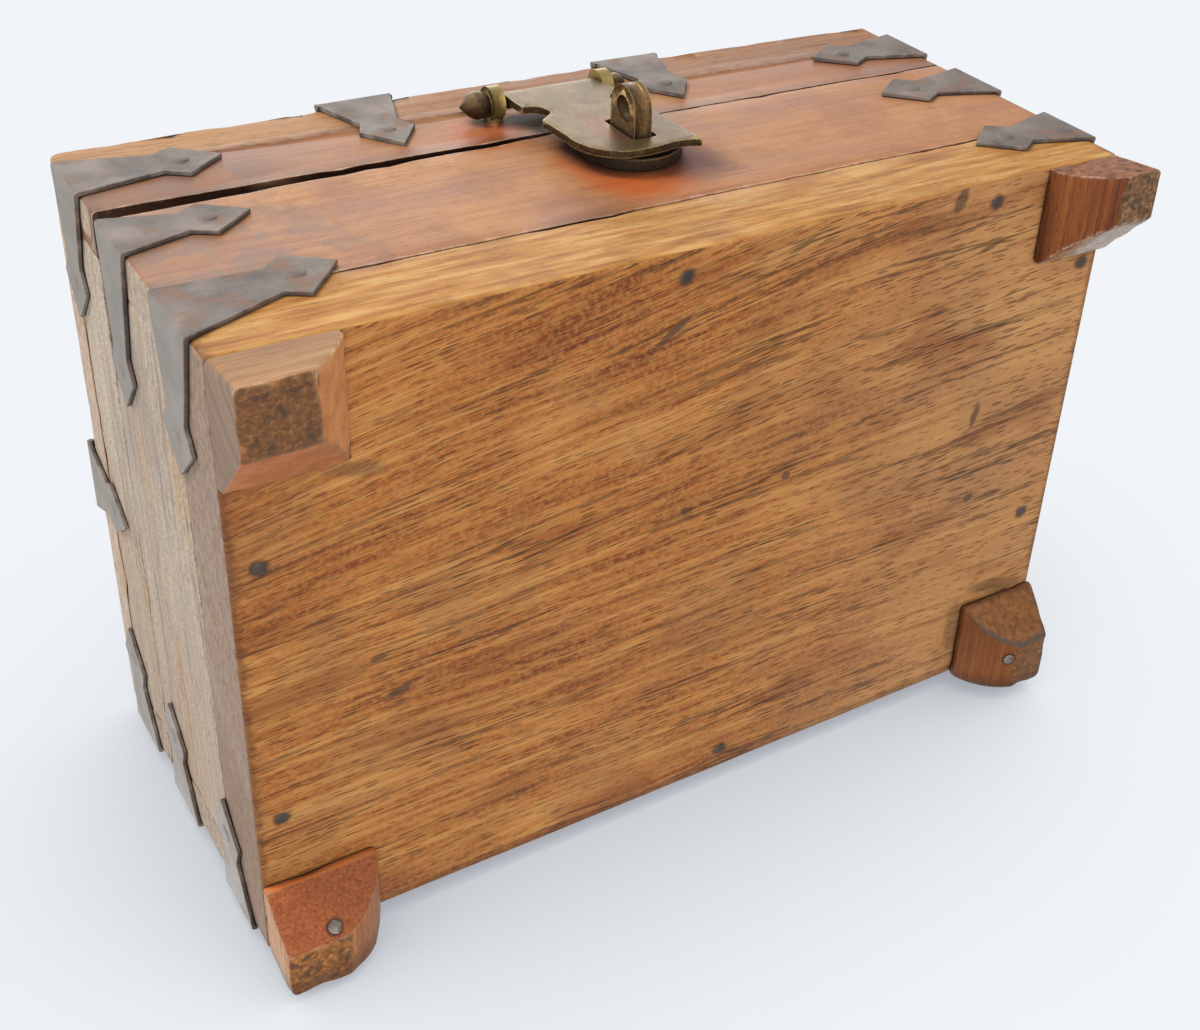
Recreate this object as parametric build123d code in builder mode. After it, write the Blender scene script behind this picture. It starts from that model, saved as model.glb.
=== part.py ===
from build123d import *
import os
from math import sqrt

# Small iron-bound wooden chest with a hinged lid and a cast brass hasp, in millimetres.
# +X runs along the chest to its right end, -Y is the front with the lock, +Z is up.
# The origin is on the ground, under the middle of the bounding box.

# --- Chest ---------------------------------------------------------------
length = 254.0
depth = 172.5
bottom_thickness = 24.5
wall = 12.0
body_height = 76.0  # underside of the bottom board to the rim of the walls
rim_dip = 4.6  # how far the rim has worn down at its front left corner
front_dip_length = 150.0
side_dip_length = 48.0
worn_edge = 1.2  # rounding of every handled timber edge

# --- Lid -----------------------------------------------------------------
lid_gap = 0.4
lid_height = 38.0  # rim to the top of the lid board at either end
board_left = 13.9  # the lid board is planed thinner at its left end
board_right = 17.9
crown = 1.6  # rise of the lid board at mid length
worn_left = 3.2  # rounding of the lid board's top at its two ends
worn_right = 6.0

# --- Feet ------------------------------------------------------------------
foot_height = 15.5
foot_lip = 2.5  # upright part of a foot next to the bottom board
foot_corner = 2.0  # rounding of a foot's outer corner
# Base and end along X, base and end along Y, all from the chest's corner, bulge of the rounded
# inner face, and how far the end stands out past the chest's end and past its front or back
feet = {
    "front_left": (29.0, 18.0, 31.5, 16.5, 0.8, -0.6, 1.1),
    "front_right": (25.5, 11.0, 27.5, 13.0, 2.4, 1.1, 1.4),
    "back_left": (29.5, 15.6, 22.8, 11.8, 2.5, 0.2, 2.4),
    "back_right": (28.5, 15.0, 27.2, 17.0, 2.2, -3.4, 0.3),
}

# --- Iron straps -----------------------------------------------------------
strap = 1.2  # sheet thickness
corner_width = 20.5  # at the bend, of a usual strap
corner_neck = 10.5
corner_head = 17.5
lid_strap_width = 21.5
lid_strap_neck = 10.5
lid_strap_head = 15.5
head_length = 16.0  # from the neck to the point
wing = 5.5  # from the neck to the widest part of the head
bend_radius = 1.0

# Each corner strap's middle above the bottom board's underside, the rim or the lid's lower edge,
# its width, and the reach and rise of its leg on the front or back and of its leg on the end
corner_straps = {
    "front_left_lower": (19.5, 23.6, 40.0, 8.0, 40.5, 3.0),
    "front_left_upper": (-16.0, 19.5, 32.5, 1.0, 45.5, 4.0),
    "front_left_lid": (19.4, 20.5, 37.5, -1.0, 38.0, 3.0),
    "front_right_lower": (20.0, 20.5, 33.5, 0.8, 39.0, 2.0),
    "front_right_upper": (-17.0, 20.5, 34.0, 2.5, 41.0, 2.0),
    "front_right_lid": (16.2, 19.5, 35.0, 1.0, 39.0, 2.5),
    "back_left_lower": (18.8, 19.5, 38.0, 2.0, 32.5, 5.5),
    "back_left_upper": (-15.5, 19.5, 37.0, 2.0, 32.5, 5.5),
    "back_left_lid": (18.1, 19.5, 38.0, 2.0, 34.0, 6.0),
    "back_right_lower": (20.0, 20.5, 36.0, 1.5, 38.0, 2.0),
    "back_right_upper": (-16.0, 20.5, 38.0, 1.0, 37.0, 1.5),
    "back_right_lid": (18.1, 20.5, 36.0, 2.0, 38.0, 2.0),
}
front_strap_left = -46.0  # from the middle of the chest
front_strap_right = 39.0
end_strap = 8.0  # behind the middle of the chest
lid_strap_reach = 33.0
end_strap_reach = 29.5
lid_strap_top_reach = 36.0

# --- Nails -------------------------------------------------------------------
nail_shank = 2.0  # side of the forged square shank
head_facets = 8
head_taper = 50.0
strap_nail_head = 3.0
strap_nail_length = 8.0
strap_nail_height = 0.7
board_nail_head = 2.0
board_nail_length = 38.0
board_nail_proud = 0.25
nail_slack = 0.15  # of a punched strap hole round its nail
# Bottom nails: their places from the chest's middle and their inset from the board's edge
front_nails = [(-12.3, 7.2), (84.6, 6.5)]
back_nails = [(10.1, 7.2)]
left_nails = [(-31.9, 7.2), (43.0, 6.7)]
right_nails = [(-54.5, 5.9), (29.5, 9.7)]
# Foot nails, from the chest's corner along X and Y; past the foot's end they enter its slope
foot_nails_at = {
    "front_left": (6.0, 5.5),
    "front_right": (9.0, 18.0),
    "back_left": (13.3, 14.2),
    "back_right": (13.0, 9.0),
}
foot_nail_length = 30.0
foot_nail_tilt = 0.45  # lean of a nail in a slope, over its rise
lid_nail_inset = 9.0  # from the ends
lid_nail_rows = 3
lid_nail_length = 27.0

# --- Hinges --------------------------------------------------------------------
hinge_place = 66.0  # either side of the middle
pin_radius = 1.4
pin_slack = 0.06
pin_head_radius = 1.9
pin_head = 0.8
knuckle_clear = 0.35  # between a knuckle and the timber or the other leaf
middle_knuckle = 7.6
hinge_reach = 38.0
hinge_lid_reach = 31.0

# --- Hasp ------------------------------------------------------------------------
hasp_place = -0.4  # right of the middle
hasp_lean = 0.058  # the casting leans right by this much per millimetre of its length
pintle_rise = 13.8  # above the lid's lower edge
pintle_out = 4.8  # in front of the chest
pintle_radius = 2.3
pintle_slack = 0.08
eye_radius = 4.5
eye_width = 3.5
eye_inner = 14.85  # middle of the hasp to the eye
eye_collar_radius = 2.7
eye_collar = 1.6
eye_shank = 1.6
collar_gap = 0.3
bud_neck = 2.7
bud_radius = 3.8
bud_bulge = 2.5  # from the bud's base to its widest
bud_shoulder = 5.2
bud_shoulder_radius = 2.9
bud_length = 8.0
knob_radius = 2.9
knob_seat = 2.2  # from the pintle's shoulder to the knob's middle
hasp_thickness = 2.2
hasp_front = 7.4  # from the chest's front to the hasp's outer face
# Half widths of the plate, and their drops below the middle of the pintle
hasp_top_half = 14.2
hasp_half = 14.9
hasp_bow_half = 10.9
hasp_waist_half = 10.2
hasp_ear = 8.5
hasp_ear_end = 12.0
hasp_bow = 13.4
hasp_waist = 18.3
hasp_shoulder = 21.9
hasp_side = 34.0
hasp_toe = [(-12.7, 44.2), (-6.8, 48.9), (0.5, 49.2), (7.5, 48.1), (11.5, 48.5)]
hasp_drop = 49.8
slot_side = 1.1  # slack round the lug, across the hasp
slot_end = 1.3  # slack round the lug, along the hasp
slot_corner = 1.0

# --- Lug and boss ------------------------------------------------------------------
lug_place = 4.2  # right of the middle
lug_drop = 35.8  # below the pintle
lug_thickness = 5.2
lug_radius = 6.0
lug_eye_out = 13.2  # from the chest's front to the middle of the padlock eye
lug_eye_radius = 3.2
lug_shank = 2.6
shank_slack = 0.15
boss_radius = 13.7
boss_thickness = 4.0
boss_edge = 0.7
boss_right = 1.1  # middle of the boss from the lug's shank
boss_up = 1.6
washer_radius = 6.0
washer = 1.5
small_washer_radius = 4.0
small_washer = 1.0
rivet = 1.2
rivet_share = 1.35  # spread of a riveted end over its shank

# --- Worked out -----------------------------------------------------------------------
half_length = length / 2
knuckle_radius = pin_radius + pin_slack + strap
pin_back = knuckle_radius + knuckle_clear
lug_out = lug_eye_out + lug_radius
middle_y = (lug_out - pin_back - knuckle_radius) / 2
front_y = middle_y - depth / 2
back_y = middle_y + depth / 2
underside = foot_height
floor_z = underside + bottom_thickness
rim_z = underside + body_height
lid_z = rim_z + lid_gap
lid_edge_z = lid_z + lid_height
seam_left_z = lid_edge_z - board_left
seam_right_z = lid_edge_z - board_right
crown_radius = (half_length**2 + crown**2) / (2 * crown)
crown_centre_z = lid_edge_z + crown - crown_radius
hinge_y = back_y + pin_back
hinge_z = rim_z + lid_gap / 2
pintle_y = front_y - pintle_out
pintle_z = lid_z + pintle_rise
lug_z = pintle_z - lug_drop
strap_base = {"lower": underside, "upper": rim_z, "lid": lid_z}
up = (0, 0, 1)


def export(part, name):
    part.label = name
    export_step(part, f"parts/{name}.step")


def face_plane(origin, along, rise=up):
    """A drawing plane whose first direction is along and whose second is rise."""
    return Plane(origin=origin, x_dir=along, z_dir=Vector(along).cross(Vector(rise)))


def seam_z(x):
    """Height of the seam between the lid's rails and its board."""
    return seam_left_z + (seam_right_z - seam_left_z) * (x + half_length) / length


def crown_z(x, over=0.0):
    """Height of the lid's crowned top, or of a skin that lies over it."""
    return crown_centre_z + sqrt((crown_radius + over) ** 2 - x**2)


def crown_seat(x, y):
    """A plane that touches the crowned top at x, y and faces out of it."""
    return Plane(origin=(x, y, crown_z(x)), z_dir=(x, 0, crown_z(x) - crown_centre_z))


def draw_under_crown(low_z, reach, over=0.0):
    """Close an outline under the crowned top, in the XZ plane, from -reach to reach."""
    Polyline((-reach, crown_z(reach, over)), (-reach, low_z), (reach, low_z), (reach, crown_z(reach, over)))
    ThreePointArc((-reach, crown_z(reach, over)), (0, crown_z(0, over)), (reach, crown_z(reach, over)))


def leg_outline(reach, rise, sizes, lap):
    """Half-kite head, neck and wide bend of one strap leg; the bend is at zero."""
    wide, neck, head = sizes
    neck_at = reach - head_length
    wing_at = neck_at + wing
    neck_v = rise * neck_at / reach
    wing_v = rise * wing_at / reach
    return [
        (-lap, -wide / 2),
        (0, -wide / 2),
        (neck_at, neck_v - neck / 2),
        (wing_at, wing_v - head / 2),
        (reach, rise),
        (wing_at, wing_v + head / 2),
        (neck_at, neck_v + neck / 2),
        (0, wide / 2),
        (-lap, wide / 2),
    ]


def draw_leg(reach, rise, sizes, lap=strap):
    Polyline(*leg_outline(reach, rise, sizes, lap), close=True)


def nail_seat(plane, reach, rise):
    """Middle of a leg's head, on its drawing plane."""
    wing_at = reach - head_length + wing
    return plane.from_local_coords((wing_at, rise * wing_at / reach, 0))


def drive_nails(seats, head_radius, head_height, sunk, shank_length):
    """Nails at each seat, a plane that faces out of the surface."""
    sunk_seats = [seat.offset(-sunk) for seat in seats]
    with BuildSketch(*sunk_seats) as heads:
        RegularPolygon(head_radius, head_facets)
    extrude(heads.sketch, amount=head_height, taper=head_taper)
    with BuildSketch(*sunk_seats) as shanks:
        Rectangle(nail_shank, nail_shank)
    extrude(shanks.sketch, amount=-shank_length)


def punch_nail_holes(seats):
    with BuildSketch(*seats) as holes:
        Rectangle(nail_shank + 2 * nail_slack, nail_shank + 2 * nail_slack)
    extrude(holes.sketch, amount=2 * strap, both=True, mode=Mode.SUBTRACT)


corner_sizes = (corner_width, corner_neck, corner_head)
lid_sizes = (lid_strap_width, lid_strap_neck, lid_strap_head)
hinge_sizes = (corner_width, lid_strap_neck, lid_strap_head)
body_strap_seats = []
lid_strap_seats = []
os.makedirs("parts", exist_ok=True)

# --- Body timber --------------------------------------------------------------------------
with BuildPart() as bottom_board:
    with BuildSketch(Plane.XY.offset(underside)):
        with Locations((0, middle_y)):
            Rectangle(length, depth)
    extrude(amount=bottom_thickness)
    fillet(bottom_board.edges().filter_by(Axis.Z), worn_edge)
    fillet(bottom_board.edges().group_by(Axis.Z)[0], worn_edge)
export(bottom_board.part, "bottom_board")

with BuildPart() as front_panel:
    with BuildSketch(face_plane((0, front_y, 0), (1, 0, 0))):
        with BuildLine():
            Polyline(
                (-half_length, floor_z),
                (half_length, floor_z),
                (half_length, rim_z),
                (front_dip_length - half_length, rim_z),
                (-half_length, rim_z - rim_dip),
                close=True,
            )
        make_face()
    extrude(amount=wall, dir=(0, 1, 0))
    lug_axis = Plane(origin=(lug_place, front_y, lug_z), z_dir=(0, 1, 0))
    with Locations(lug_axis):
        Cylinder(
            lug_shank + shank_slack,
            wall,
            align=(Align.CENTER, Align.CENTER, Align.MIN),
            mode=Mode.SUBTRACT,
        )
    fillet(front_panel.edges().filter_by(Axis.Z).group_by(Axis.Y)[0], worn_edge)
export(front_panel.part, "front_panel")

with BuildPart() as back_panel:
    with BuildSketch(Plane.XY.offset(floor_z)):
        with Locations((0, back_y - wall / 2)):
            Rectangle(length, wall)
    extrude(amount=rim_z - floor_z)
    fillet(back_panel.edges().filter_by(Axis.Z).group_by(Axis.Y)[-1], worn_edge)
export(back_panel.part, "back_panel")

with BuildPart() as left_side:
    dip_end_y = front_y + side_dip_length
    dip_at_wall = rim_dip * (1 - wall / side_dip_length)
    with BuildSketch(face_plane((-half_length, 0, 0), (0, 1, 0))):
        with BuildLine():
            Polyline(
                (front_y + wall, floor_z),
                (back_y - wall, floor_z),
                (back_y - wall, rim_z),
                (dip_end_y, rim_z),
                (front_y + wall, rim_z - dip_at_wall),
                close=True,
            )
        make_face()
    extrude(amount=wall, dir=(1, 0, 0))
export(left_side.part, "left_side")

with BuildPart() as right_side:
    with BuildSketch(Plane.XY.offset(floor_z)):
        with Locations((half_length - wall / 2, middle_y)):
            Rectangle(wall, depth - 2 * wall)
    extrude(amount=rim_z - floor_z)
export(right_side.part, "right_side")

# --- Feet -------------------------------------------------------------------------------
foot_nail_seats = []
for corner, (base_x, end_x, base_y, end_y, bulge, out_x, out_y) in feet.items():
    inward_x = 1 if corner.endswith("left") else -1
    inward_y = 1 if corner.startswith("front") else -1
    corner_point = (-inward_x * half_length, middle_y - inward_y * depth / 2, 0)
    across = face_plane(corner_point, (inward_x, 0, 0))
    endways = face_plane(corner_point, (0, inward_y, 0))
    slope_top = foot_height - foot_lip
    with BuildPart() as foot:
        with BuildSketch(across):
            with BuildLine():
                Line((-out_x, 0), (end_x, 0))
                SagittaArc((base_x, slope_top), (end_x, 0), bulge)
                Polyline((base_x, slope_top), (base_x, foot_height), (0, foot_height), (-out_x, 0))
            make_face()
        extrude(amount=base_y, both=True)
        with BuildSketch(endways):
            with BuildLine():
                Polyline(
                    (-out_y, 0),
                    (end_y, 0),
                    (base_y, slope_top),
                    (base_y, foot_height),
                    (0, foot_height),
                    close=True,
                )
            make_face()
        extrude(amount=base_x, both=True, mode=Mode.INTERSECT)
        corner_middle = (
            corner_point[0] - inward_x * out_x / 2,
            corner_point[1] - inward_y * out_y / 2,
            foot_height / 2,
        )
        fillet(foot.edges().sort_by_distance(corner_middle)[0], foot_corner)
    export(foot.part, f"{corner}_foot")
    nail_x, nail_y = foot_nails_at[corner]
    on_slope = nail_y > end_y
    nail_rise = slope_top * (nail_y - end_y) / (base_y - end_y) if on_slope else 0
    nail_point = (corner_point[0] + inward_x * nail_x, corner_point[1] + inward_y * nail_y, nail_rise)
    nail_facing = (0, inward_y * foot_nail_tilt * on_slope, -1)
    foot_nail_seats.append(Plane(origin=nail_point, x_dir=(1, 0, 0), z_dir=nail_facing))

# --- Lid timber ---------------------------------------------------------------------------
hasp_x = hasp_place
eye_x = eye_inner + eye_width / 2
rails = {
    "front": (-half_length, half_length, front_y, wall),
    "back": (-half_length, half_length, back_y - wall, wall),
    "left": (-half_length, wall - half_length, front_y + wall, depth - 2 * wall),
    "right": (half_length - wall, half_length, front_y + wall, depth - 2 * wall),
}
for name, (low_x, high_x, start_y, run) in rails.items():
    with BuildPart() as rail:
        with BuildSketch(face_plane((0, start_y, 0), (1, 0, 0))):
            with BuildLine():
                Polyline(
                    (low_x, lid_z),
                    (high_x, lid_z),
                    (high_x, seam_z(high_x)),
                    (low_x, seam_z(low_x)),
                    close=True,
                )
            make_face()
        extrude(amount=run, dir=(0, 1, 0))
        if name == "front":
            for side in (-1, 1):
                eye_axis = Plane(origin=(hasp_x + side * eye_x, front_y, pintle_z), z_dir=(0, 1, 0))
                with Locations(eye_axis):
                    Cylinder(
                        eye_shank + shank_slack,
                        wall,
                        align=(Align.CENTER, Align.CENTER, Align.MIN),
                        mode=Mode.SUBTRACT,
                    )
            fillet(rail.edges().filter_by(Axis.Z).group_by(Axis.Y)[0], worn_edge)
        if name == "back":
            fillet(rail.edges().filter_by(Axis.Z).group_by(Axis.Y)[-1], worn_edge)
    export(rail.part, f"lid_{name}_rail")

with BuildPart() as lid_board:
    with BuildSketch(face_plane((0, front_y, 0), (1, 0, 0))) as lid_section:
        with BuildLine():
            Polyline(
                (-half_length, lid_edge_z),
                (-half_length, seam_left_z),
                (half_length, seam_right_z),
                (half_length, lid_edge_z),
            )
            ThreePointArc((-half_length, lid_edge_z), (0, lid_edge_z + crown), (half_length, lid_edge_z))
        make_face()
        left_end, right_end = lid_section.vertices().group_by(Axis.Y)[-1].sort_by(Axis.X)
        fillet(left_end, worn_left)
        fillet(right_end, worn_right)
    extrude(amount=depth, dir=(0, 1, 0))
    rounded = lid_board.edges().filter_by(GeomType.CIRCLE) + lid_board.edges().filter_by(Axis.Z)
    fillet(rounded, worn_edge)
export(lid_board.part, "lid_board")

# --- Corner straps --------------------------------------------------------------------------
for name, (height, width, face_reach, face_rise, end_reach, end_rise) in corner_straps.items():
    row, end, level = name.split("_")
    inward_x = 1 if end == "left" else -1
    inward_y = 1 if row == "front" else -1
    corner_point = (
        -inward_x * half_length,
        middle_y - inward_y * depth / 2,
        strap_base[level] + height,
    )
    on_face = face_plane(corner_point, (inward_x, 0, 0))
    on_end = face_plane(corner_point, (0, inward_y, 0))
    sizes = [size * width / corner_width for size in corner_sizes]
    seats = [
        Plane(origin=nail_seat(on_face, face_reach, face_rise), z_dir=(0, -inward_y, 0)),
        Plane(origin=nail_seat(on_end, end_reach, end_rise), z_dir=(-inward_x, 0, 0)),
    ]
    with BuildPart() as corner_strap:
        with BuildSketch(on_face):
            with BuildLine():
                draw_leg(face_reach, face_rise, sizes)
            make_face()
        extrude(amount=strap, dir=(0, -inward_y, 0))
        with BuildSketch(on_end):
            with BuildLine():
                draw_leg(end_reach, end_rise, sizes)
            make_face()
        extrude(amount=strap, dir=(-inward_x, 0, 0))
        outer_edge = corner_strap.edges().filter_by(Axis.Z).sort_by_distance(
            (corner_point[0] * 2, corner_point[1] * 2, corner_point[2])
        )[0]
        fillet(outer_edge, bend_radius)
        punch_nail_holes(seats)
    export(corner_strap.part, f"{name}_corner_strap" if level != "lid" else f"lid_{row}_{end}_corner_strap")
    (lid_strap_seats if level == "lid" else body_strap_seats).extend(seat.offset(strap) for seat in seats)

# --- Straps over the lid's front and end edges ------------------------------------------------
over_lid = crown + 2 * strap
edge_straps = {
    "lid_front_left_strap": ((front_strap_left, front_y), (0, 1), lid_strap_reach),
    "lid_front_right_strap": ((front_strap_right, front_y), (0, 1), lid_strap_reach),
    "lid_left_strap": ((-half_length, middle_y + end_strap), (1, 0), end_strap_reach),
    "lid_right_strap": ((half_length, middle_y + end_strap), (-1, 0), end_strap_reach),
}
for name, ((x, y), (inward_x, inward_y), reach) in edge_straps.items():
    outward = (-inward_x, -inward_y, 0)
    down_face = face_plane((x, y, crown_z(x)), (0, 0, -1), (-inward_y, inward_x, 0))
    on_top = face_plane((x, y, lid_edge_z), (inward_x, inward_y, 0), (-inward_y, inward_x, 0))
    top_seat = nail_seat(on_top, lid_strap_top_reach, 0)
    seats = [
        Plane(origin=nail_seat(down_face, reach, 0), z_dir=outward),
        crown_seat(top_seat.X, top_seat.Y),
    ]
    with BuildPart() as edge_strap:
        with BuildSketch(down_face):
            with BuildLine():
                draw_leg(reach, 0, lid_sizes, over_lid)
            make_face()
        extrude(amount=strap, dir=outward)
        with BuildSketch(on_top):
            with BuildLine():
                draw_leg(lid_strap_top_reach, 0, lid_sizes)
            make_face()
        extrude(amount=over_lid, dir=up)
        with BuildSketch(face_plane((0, front_y - over_lid, 0), (1, 0, 0))):
            with BuildLine():
                draw_under_crown(lid_z, half_length + strap, strap)
            make_face()
        extrude(amount=depth + 2 * over_lid, dir=(0, 1, 0), mode=Mode.INTERSECT)
        with BuildSketch(face_plane((0, front_y, 0), (1, 0, 0))):
            with BuildLine():
                draw_under_crown(lid_z, half_length)
            make_face()
        extrude(amount=depth, dir=(0, 1, 0), mode=Mode.SUBTRACT)
        bend_point = (x - inward_x * strap, y - inward_y * strap, crown_z(x, strap))
        fillet(edge_strap.edges().sort_by_distance(bend_point)[0], bend_radius)
        punch_nail_holes(seats)
    export(edge_strap.part, name)
    lid_strap_seats.extend(seat.offset(strap) for seat in seats)

# --- Hinges -----------------------------------------------------------------------------------
knuckle_span = corner_width - middle_knuckle - 2 * knuckle_clear
outer_knuckle = knuckle_span / 2
outer_knuckle_at = middle_knuckle / 2 + knuckle_clear + outer_knuckle / 2
leaf_clear = knuckle_radius + knuckle_clear
for side, x in (("left", -hinge_place), ("right", hinge_place)):
    barrel = Plane(origin=(x, hinge_y, hinge_z), z_dir=(1, 0, 0))
    leaf_below = face_plane((x, back_y, hinge_z), (0, 0, -1), (1, 0, 0))
    leaf_above = face_plane((x, back_y, hinge_z), (0, 0, 1), (1, 0, 0))
    leaves = (
        ("hinge_lower_leaf", leaf_below, hinge_reach, [0], middle_knuckle, body_strap_seats),
        (
            "hinge_upper_leaf",
            leaf_above,
            hinge_lid_reach,
            [-outer_knuckle_at, outer_knuckle_at],
            outer_knuckle,
            lid_strap_seats,
        ),
    )
    for name, leaf_plane, reach, knuckles, knuckle_length, strap_seats in leaves:
        seat = Plane(origin=nail_seat(leaf_plane, reach, 0), z_dir=(0, 1, 0))
        with BuildPart() as leaf:
            with BuildSketch(leaf_plane):
                with BuildLine():
                    draw_leg(reach, 0, hinge_sizes)
                make_face()
            extrude(amount=strap, dir=(0, 1, 0))
            with BuildSketch(leaf_plane):
                Rectangle(2 * leaf_clear, 2 * corner_width)
            extrude(amount=strap, dir=(0, 1, 0), mode=Mode.SUBTRACT)
            for place in knuckles:
                with BuildSketch(leaf_plane):
                    with Locations((leaf_clear / 2, place)):
                        Rectangle(leaf_clear, knuckle_length)
                extrude(amount=strap, dir=(0, 1, 0))
                with Locations(barrel.offset(place)):
                    Cylinder(knuckle_radius, knuckle_length)
            with Locations(barrel):
                Cylinder(pin_radius + pin_slack, 2 * corner_width, mode=Mode.SUBTRACT)
            punch_nail_holes([seat])
        export(leaf.part, f"{side}_{name}")
        strap_seats.append(seat.offset(strap))
    with BuildPart() as pin:
        pin_length = corner_width + 2 * pin_slack
        with Locations(barrel):
            Cylinder(pin_radius, pin_length)
        for end in (-1, 1):
            with Locations(barrel.offset(end * (pin_length + pin_head) / 2)):
                Cylinder(pin_head_radius, pin_head)
    export(pin.part, f"{side}_hinge_pin")

# --- Nails ------------------------------------------------------------------------------------
board_places = [(x, inset - depth / 2) for x, inset in front_nails]
board_places += [(x, depth / 2 - inset) for x, inset in back_nails]
board_places += [(inset - half_length, y) for y, inset in left_nails]
board_places += [(half_length - inset, y) for y, inset in right_nails]
with BuildPart() as bottom_nails:
    seats = [Plane(origin=(x, middle_y + y, underside), z_dir=(0, 0, -1)) for x, y in board_places]
    drive_nails(seats, board_nail_head, 2 * board_nail_proud, board_nail_proud, board_nail_length)
export(bottom_nails.part, "bottom_board_nails")

with BuildPart() as foot_nails:
    foot_seats = [seat.offset(-board_nail_proud) for seat in foot_nail_seats]
    drive_nails(foot_seats, board_nail_head, board_nail_proud, board_nail_proud, foot_nail_length)
export(foot_nails.part, "foot_nails")

with BuildPart() as lid_nails:
    inset_x = half_length - lid_nail_inset
    spacing = (length - 2 * lid_nail_inset) / (lid_nail_rows - 1)
    rail_middles = (front_y + wall / 2, back_y - wall / 2)
    places = [(-inset_x + i * spacing, y) for i in range(lid_nail_rows) for y in rail_middles]
    seats = [crown_seat(x, y) for x, y in places]
    drive_nails(seats, board_nail_head, 2 * board_nail_proud, board_nail_proud, lid_nail_length)
export(lid_nails.part, "lid_board_nails")

for name, seats in (("body_strap_nails", body_strap_seats), ("lid_strap_nails", lid_strap_seats)):
    with BuildPart() as strap_nails:
        drive_nails(seats, strap_nail_head, strap_nail_height, 0, strap + strap_nail_length)
    export(strap_nails.part, name)

# --- Lug, boss and their washer ----------------------------------------------------------------
boss_axis = Plane(origin=(lug_place + boss_right, front_y, lug_z + boss_up), z_dir=(0, -1, 0))
with BuildPart() as lock_boss:
    with Locations(boss_axis):
        Cylinder(boss_radius, boss_thickness, align=(Align.CENTER, Align.CENTER, Align.MIN))
    chamfer(lock_boss.edges().filter_by(GeomType.CIRCLE).sort_by(Axis.Y)[0], boss_edge)
    with Locations(lug_axis):
        Cylinder(lug_shank + shank_slack, 2 * boss_thickness, mode=Mode.SUBTRACT)
export(lock_boss.part, "lock_boss")

with BuildPart() as lock_lug:
    lug_section = face_plane((lug_place, front_y, lug_z), (0, -1, 0))
    with BuildSketch(lug_section):
        with Locations(((boss_thickness + lug_eye_out) / 2, 0)):
            Rectangle(lug_eye_out - boss_thickness, 2 * lug_radius)
        with Locations((lug_eye_out, 0)):
            Circle(lug_radius)
            Circle(lug_eye_radius, mode=Mode.SUBTRACT)
    extrude(amount=lug_thickness / 2, both=True)
    shank_end = wall + washer
    with Locations(lug_axis.offset(-boss_thickness)):
        Cylinder(
            lug_shank,
            boss_thickness + shank_end,
            align=(Align.CENTER, Align.CENTER, Align.MIN),
        )
    with Locations(lug_axis.offset(shank_end)):
        Cone(
            lug_shank * rivet_share,
            lug_shank,
            rivet,
            align=(Align.CENTER, Align.CENTER, Align.MIN),
        )
export(lock_lug.part, "lock_lug")

with BuildPart() as lug_washer:
    with Locations(lug_axis.offset(wall)):
        Cylinder(washer_radius, washer, align=(Align.CENTER, Align.CENTER, Align.MIN))
        Cylinder(
            lug_shank + shank_slack,
            2 * washer,
            mode=Mode.SUBTRACT,
        )
export(lug_washer.part, "lug_washer")

# --- Hasp eyes ------------------------------------------------------------------------------------
eye_axes = [
    Plane(origin=(hasp_x + side * eye_x, front_y, pintle_z), z_dir=(0, 1, 0)) for side in (-1, 1)
]
for side, eye_axis in zip(("left", "right"), eye_axes):
    ring_axis = Plane(origin=(eye_axis.origin.X, pintle_y, pintle_z), z_dir=(1, 0, 0))
    with BuildPart() as eye:
        with Locations(ring_axis):
            Cylinder(eye_radius, eye_width)
        with Locations(eye_axis.offset(-eye_collar)):
            Cylinder(eye_collar_radius, eye_collar, align=(Align.CENTER, Align.CENTER, Align.MIN))
        with Locations(eye_axis.offset(-eye_collar)):
            Cylinder(
                eye_shank,
                eye_collar + wall + small_washer,
                align=(Align.CENTER, Align.CENTER, Align.MIN),
            )
        with Locations(eye_axis.offset(wall + small_washer)):
            Cone(
                eye_shank * rivet_share,
                eye_shank,
                rivet,
                align=(Align.CENTER, Align.CENTER, Align.MIN),
            )
        with Locations(ring_axis):
            Cylinder(pintle_radius + pintle_slack, 2 * eye_width, mode=Mode.SUBTRACT)
    export(eye.part, f"hasp_{side}_eye")

with BuildPart() as eye_washers:
    for eye_axis in eye_axes:
        with Locations(eye_axis.offset(wall)):
            Cylinder(small_washer_radius, small_washer, align=(Align.CENTER, Align.CENTER, Align.MIN))
            Cylinder(eye_shank + shank_slack, 2 * small_washer, mode=Mode.SUBTRACT)
export(eye_washers.part, "hasp_eye_washers")

# --- Hasp -------------------------------------------------------------------------------------------
# The cast plate hangs from a round pintle that ends in a bud on one side and a knob on the other.
def lean(x, drop):
    return (x + hasp_lean * drop, -drop)


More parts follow.
